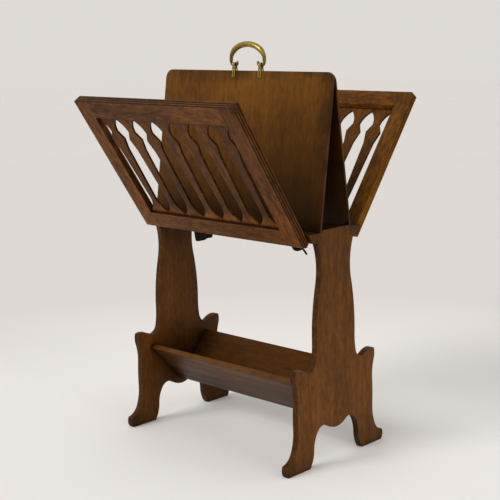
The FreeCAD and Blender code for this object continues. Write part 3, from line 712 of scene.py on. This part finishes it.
class STAND_OT_stays(bpy.types.Operator):
    """Makes the two iron cross stays under the shelf rails, and the pin on the right one"""
    bl_idname = "atlas_stand.stays"
    bl_label = "Cross stays"

    def execute(self, context):
        size = context.scene.stand_stays
        material = iron_material(context.scene.stand_finish)
        pieces = {}
        for word in ("left", "right"):
            shape = [getattr(size, word + "_" + key) for key in ("tab", "edge", "depth", "step")]
            low, high = (np.array(corner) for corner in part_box("cross_stay_" + word))
            pieces["cross_stay_" + word] = word + "_stay", self.plate(low, high, size.corner, *shape)
        low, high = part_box("stay_pin")
        root = np.array((low.x, low.y + 0.002, high.z + 0.0005))
        pieces["stay_pin"] = "hanging_pin", self.pin(root, size.pin)
        for node_name, (name, grids) in pieces.items():
            piece = skin(name, grids, grids[:, (0, -1)].mean(axis=2), material)
            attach(piece, "stand")
            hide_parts(node_name)
        return {"FINISHED"}

    def pin(self, root, thick):
        """Round rod from its root in the stay to its hanging tip: twice t times one less t of the way to
        the bend, plus t squared of the way to the tip. Across is square to both ways."""
        bend, tip = np.array((0.007, 0.0, 0.0)), np.array((0.0075, 0.0096, -0.0145))
        across = (0.0, 0.834, 0.552)
        t = np.linspace(0.0, 1.0, 60)[:, None]
        line, run = eased(2 * t * (1 - t) * bend + t * t * tip, 40)
        radius = thick * rounded_ends(run, thick)
        return bars((root + line)[None], across, radius[None], radius[None], 16)

    def plate(self, low, high, radius, tab, edge, share, step):
        """Upright plate: level sections along its length, each a rectangle with rounded corners. Its depth
        grows evenly from the ends and then steps down smoothly between edge and tab, the distances from the
        middle, to the tab, whose rear half is shallower by the share step."""
        end_depth, growth = 0.07, 0.33
        step_from, step_to = -0.002, 0.006
        stations, arc = 120, 4
        half, drop = (high[1] - low[1]) / 2, (high[2] - low[2]) * share
        y = half * np.sin(np.linspace(-np.pi / 2, np.pi / 2, stations))
        slope = end_depth + growth * (half - np.abs(y)) / (half - edge)
        on_tab = 1.0 - smooth_step(np.abs(y), tab, edge)
        depth = drop * (slope + (1.0 - step * smooth_step(y, step_from, step_to) - slope) * on_tab)
        turn = np.radians(np.linspace(0, 90, arc) + np.arange(0, 360, 90)[:, None]).ravel()
        right = np.repeat((1, 1, -1, -1), arc) * ((high[0] - low[0]) / 2 - radius)
        top = np.repeat((1, 0, 0, 1), arc)
        x = (low[0] + high[0]) / 2 + right + radius * np.sin(turn) + 0 * y[:, None]
        z = high[2] - radius - (1 - top) * (depth[:, None] - 2 * radius) + radius * np.cos(turn)
        return np.stack((x, (low[1] + high[1]) / 2 + y[:, None] + 0 * turn, z), axis=-1)[None]


class STAND_OT_screws(bpy.types.Operator):
    """Makes the slotted screw heads on the hinge leaves"""
    bl_idname = "atlas_stand.screws"
    bl_label = "Hinge screws"

    def execute(self, context):
        size = context.scene.stand_screws
        material = iron_material(context.scene.stand_finish)
        rows = {"stand": []}
        for side, word in WORD.items():
            rise, out = (np.array(axis) for axis in wing_axes(side))
            inward, up = np.array((0.0, -side, 0.0)), np.array((0.0, 0.0, 1.0))
            rows["stand"].append(self.leaf(word, size, inward, up))
            rows[word + "_wing"] = [self.leaf(word, size, rise, -out)]
        for body, leaves in rows.items():
            centres, outs = (np.concatenate(part) for part in zip(*leaves))
            turn = 1.9 * np.arange(len(centres))[:, None]
            level = np.array((1.0, 0.0, 0.0))
            slots = np.cos(turn) * level + np.sin(turn) * np.cross(outs, level)
            piece = skin(body + "_hinge_screws", *screw_heads(centres, outs, slots, size), material)
            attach(piece, body)
        return {"FINISHED"}

    def leaf(self, word, size, away, out):
        """Places on both hinges' leaves that lie along away, three to a leaf with the middle one further
        off, and for each the way out of its leaf."""
        places = (-size.screw_pitch, 0.0, size.screw_pitch)
        x = np.add.outer((-size.hinge_inset, size.hinge_inset), places).ravel()
        reach = np.tile((size.screw_near, size.screw_far, size.screw_near), 2)[:, None]
        axis = np.array(AXES[word + "_wing_hinge"])
        centres = axis - size.leaf_drop * out + reach * away
        centres[:, 0] += x
        return centres, np.tile(out, (len(x), 1))


class STAND_OT_handle(bpy.types.Operator):
    """Makes the brass carrying handle and the two staples that hold it"""
    bl_idname = "atlas_stand.handle"
    bl_label = "Handle"

    def execute(self, context):
        finish, size = context.scene.stand_finish, context.scene.stand_handle
        bail_brass = brass_material(finish, "aged_brass_bail", low=0.876, high=0.900, feet=0.5)
        staple_brass = brass_material(finish, "aged_brass_staples", low=0.838, high=0.846, feet=0.4)
        low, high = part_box("bail")
        middle = np.array(((low.x + high.x) / 2, *AXES["bail_swing"][1:]))
        pieces = {"bail": ("carrying_handle", "bail", self.bail(size, middle), bail_brass)}
        for word, side in (("left", -1), ("right", 1)):
            grids = self.staple(size, middle, side)
            pieces["saddle_" + word] = (word + "_staple", "stand", grids, staple_brass)
        for node_name, (name, body, grids, material) in pieces.items():
            piece = skin(name, grids, grids[:, (0, -1)].mean(axis=2), material)
            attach(piece, body)
            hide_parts(node_name)
        return {"FINISHED"}

    def bail(self, size, middle):
        """Round bar along half an ellipse, in by a quarter turn to the level pin and up by another to the
        tip, and its mirror image. The radius steps from the pin's to that of the grip's foot, and swells to
        the crown's."""
        bend, tip_top = size.pin_outer - size.grip_half, size.curl + size.tip_rise
        collar_low, collar_high = 0.006, 0.0095
        full = size.grip_lift + 0.75 * size.grip_rise
        half = np.concatenate((
            quarter((0.0, size.grip_lift), (size.grip_half, size.grip_rise), 90, 0, 60),
            quarter((size.pin_outer, -bend), (-bend, -bend), 0, -90, 12),
            quarter((size.pin_inner, size.curl), (size.curl, size.curl), -90, -180, 10),
            ((size.pin_inner - size.curl, tip_top),)))
        line, run = eased(np.concatenate((half[:0:-1] * (-1, 1), half)), size.rings)
        height = line[:, 1]
        outer = (np.abs(line[:, 0]) > size.pin_inner) | (height > size.grip_lift)
        grip = (size.grip_foot - size.pin) * smooth_step(height, collar_low, collar_high)
        grip += (size.grip_crown - size.grip_foot) * smooth_step(height, size.grip_lift, full)
        tip = (size.tip - size.pin) * smooth_step(height, 0.0, tip_top)
        radius = (size.pin + np.where(outer, grip, tip)) * rounded_ends(run, size.tip)
        line = middle + np.stack((line[:, 0], 0 * run, height), axis=-1)
        return bars(line[None], (0.0, 1.0, 0.0), radius[None], radius[None], 40)

    def staple(self, size, middle, side):
        """Two flat strands side by side, each from its foot up the front panel, round the pin in half a
        circle that leaves it some air, and down the rear panel. Above the ridge they close up and
        thicken."""
        ridge_y, ridge_z = RIDGE
        open_rise, closed_rise, foot_reach = 0.002, 0.008, 0.0016
        off, loop = size.staple_thick, size.pin + 1.3 * size.staple_thick
        up = ridge_z - middle[2]
        half = np.concatenate((((ridge_y + size.staple_leg * PANEL_SLOPE + off, up - size.staple_leg),
                                (ridge_y + off, up)), quarter((0.0, 0.0), (loop, loop), 0, 90, 16)))
        line, run = eased(np.concatenate((half, half[-2::-1] * (-1, 1))), 90)
        closed = smooth_step(line[:, 1], up + open_rise, up + closed_rise)
        ends = rounded_ends(run, foot_reach)
        wide = size.staple_wide * (1 + 0.25 * closed) * ends
        thick = size.staple_thick * (1 + 0.2 * closed) * ends
        apart = np.array((-1.0, 1.0))[:, None] * size.staple_wide * (1.55 - 0.65 * closed)
        place = middle + (side * (size.pin_inner + size.pin_outer) / 2, 0.0, 0.0)
        flat = np.stack((0 * run, line[:, 0], line[:, 1]), axis=-1)
        lines = place + flat + apart[..., None] * (1.0, 0.0, 0.0)
        return bars(lines, (1.0, 0.0, 0.0), np.tile(thick, (2, 1)), np.tile(wide, (2, 1)), 20)


class STAND_OT_stage(bpy.types.Operator):
    """Makes the floor, the background, the lights and the camera"""
    bl_idname = "atlas_stand.stage"
    bl_label = "Stage"

    def execute(self, context):
        scene, stage = context.scene, context.scene.stand_stage
        scene.view_settings.view_transform = "Standard"
        self.floor(stage)
        self.background(scene, stage)
        self.lamp("key_light", stage.key, softness=30.0, place=(-0.9, -3.2, 2.6))
        fill = self.lamp("fill_light", stage.fill, softness=13.0, place=(3.0, -0.33, 0.25))
        fill.visible_glossy = False
        self.camera(scene)
        return {"FINISHED"}

    def floor(self, stage):
        """Level surface: (u, v) to (reach u, reach v, 0). Its colour changes from near to far: paler at the
        stand, a painted pool of light that lifts the stand's shadow.
        """
        reach, near, far = 14.0, 0.55, 1.5
        material, tree = new_material("pale_floor")
        position = node(tree, "TexCoord")["Object"]
        distance = node(tree, "VectorMath", {0: position}, operation="LENGTH")["Value"]
        cloudy = between(tree, noise(tree, position, 1.5, 2.0), *NOISE_SPAN, 0.985, 1.0)
        away = between(tree, distance, near, far)
        # Painted light: the floor is paler near the stand, lifting the stand's shadow.
        colour = mixed(tree, away, (*stage.floor, 1.0), (*stage.floor_far, 1.0))
        colour = mixed(tree, 1.0, colour, cloudy, "MULTIPLY")
        finish_with(tree, {"Base Color": colour, "Roughness": 0.75, "Specular IOR Level": 0.2})
        u, v = np.meshgrid((-reach, reach), (-reach, reach))
        points = np.stack((u, v, 0 * u), axis=-1).reshape(-1, 3)
        mesh = bpy.data.meshes.new("floor")
        mesh.from_pydata(points.tolist(), [], [[0, 1, 3, 2]])
        mesh.materials.append(material)
        made = bpy.data.objects.new("floor", mesh)
        bpy.context.scene.collection.objects.link(made)

    def background(self, scene, stage):
        """Pale to the eye and in reflections, weaker as light."""
        world = bpy.data.worlds.new("studio")
        scene.world = world
        world.use_nodes = True
        tree = world.node_tree
        tree.nodes.clear()
        rays = node(tree, "LightPath")
        seen = maths(tree, "ADD", maths(tree, "ADD", rays["Is Camera Ray"], rays["Is Glossy Ray"]),
                     rays["Is Transmission Ray"], clamp=True)
        strength = between(tree, seen, 0.0, 1.0, stage.ambient, 1.0)
        colour = mixed(tree, seen, (*stage.room, 1.0), (*stage.wall, 1.0))
        light = node(tree, "Background", {0: colour, 1: strength})[0]
        node(tree, "OutputWorld", {0: light})

    def lamp(self, name, strength, softness, place):
        """Sun that shines from its place to the origin, as wide as the angle softness in degrees."""
        lamp = bpy.data.lights.new(name, "SUN")
        lamp.energy = strength
        lamp.angle = math.radians(softness)
        made = bpy.data.objects.new(name, lamp)
        made.rotation_mode = "QUATERNION"
        made.rotation_quaternion = Vector(place).to_track_quat("Z", "Y")
        made.location = place
        bpy.context.scene.collection.objects.link(made)
        return made

    def camera(self, scene):
        """Camera in front of the right standard's near corner, looking a little down."""
        turn, rise, roll = (math.radians(a) for a in (43.689, -10.9038, -1.1073))
        ahead = Vector((-math.sin(turn) * math.cos(rise), math.cos(turn) * math.cos(rise), math.sin(rise)))
        side = Vector((math.cos(turn), math.sin(turn), 0))
        over = side.cross(ahead)
        right = side * math.cos(roll) + over * math.sin(roll)
        up = over * math.cos(roll) - side * math.sin(roll)
        data = bpy.data.cameras.new("camera")
        data.sensor_width, data.lens = 36.0, 84.38
        data.clip_start, data.clip_end = 0.05, 100.0
        made = bpy.data.objects.new("camera", data)
        made.matrix_world = Matrix((right, up, -ahead)).transposed().to_4x4()
        made.location = (1.8509, -1.9421, 0.9608)
        scene.collection.objects.link(made)
        scene.camera = made


OPERATORS = (STAND_OT_boards, STAND_OT_wings, STAND_OT_iron, STAND_OT_stays, STAND_OT_screws,
             STAND_OT_handle, STAND_OT_stage)
GROUPS = {"stand_finish": StandFinish, "stand_handle": StandHandle, "stand_stays": StandStays,
          "stand_screws": StandScrews, "stand_stage": StandStage}


class STAND_PT_panel(bpy.types.Panel):
    """Lists the stand's settings and makers"""
    bl_idname = "STAND_PT_panel"
    bl_label = "Atlas stand"
    bl_space_type = "VIEW_3D"
    bl_region_type = "UI"
    bl_category = "Atlas stand"

    def draw(self, context):
        for name, group in GROUPS.items():
            box = self.layout.box()
            for key in group.__annotations__:
                box.prop(getattr(context.scene, name), key)
        for operator in OPERATORS:
            self.layout.operator(operator.bl_idname)


def register():
    for kind in (*GROUPS.values(), *OPERATORS, STAND_PT_panel):
        bpy.utils.register_class(kind)
    for name, kind in GROUPS.items():
        setattr(bpy.types.Scene, name, PointerProperty(type=kind))


def unregister():
    for name in GROUPS:
        delattr(bpy.types.Scene, name)
    for kind in reversed((*GROUPS.values(), *OPERATORS, STAND_PT_panel)):
        bpy.utils.unregister_class(kind)


def main():
    register()
    bpy.ops.atlas_stand.boards()
    bpy.ops.atlas_stand.wings()
    bpy.ops.atlas_stand.iron()
    bpy.ops.atlas_stand.stays()
    bpy.ops.atlas_stand.screws()
    bpy.ops.atlas_stand.handle()
    bpy.ops.atlas_stand.stage()


if __name__ == "__main__":
    main()
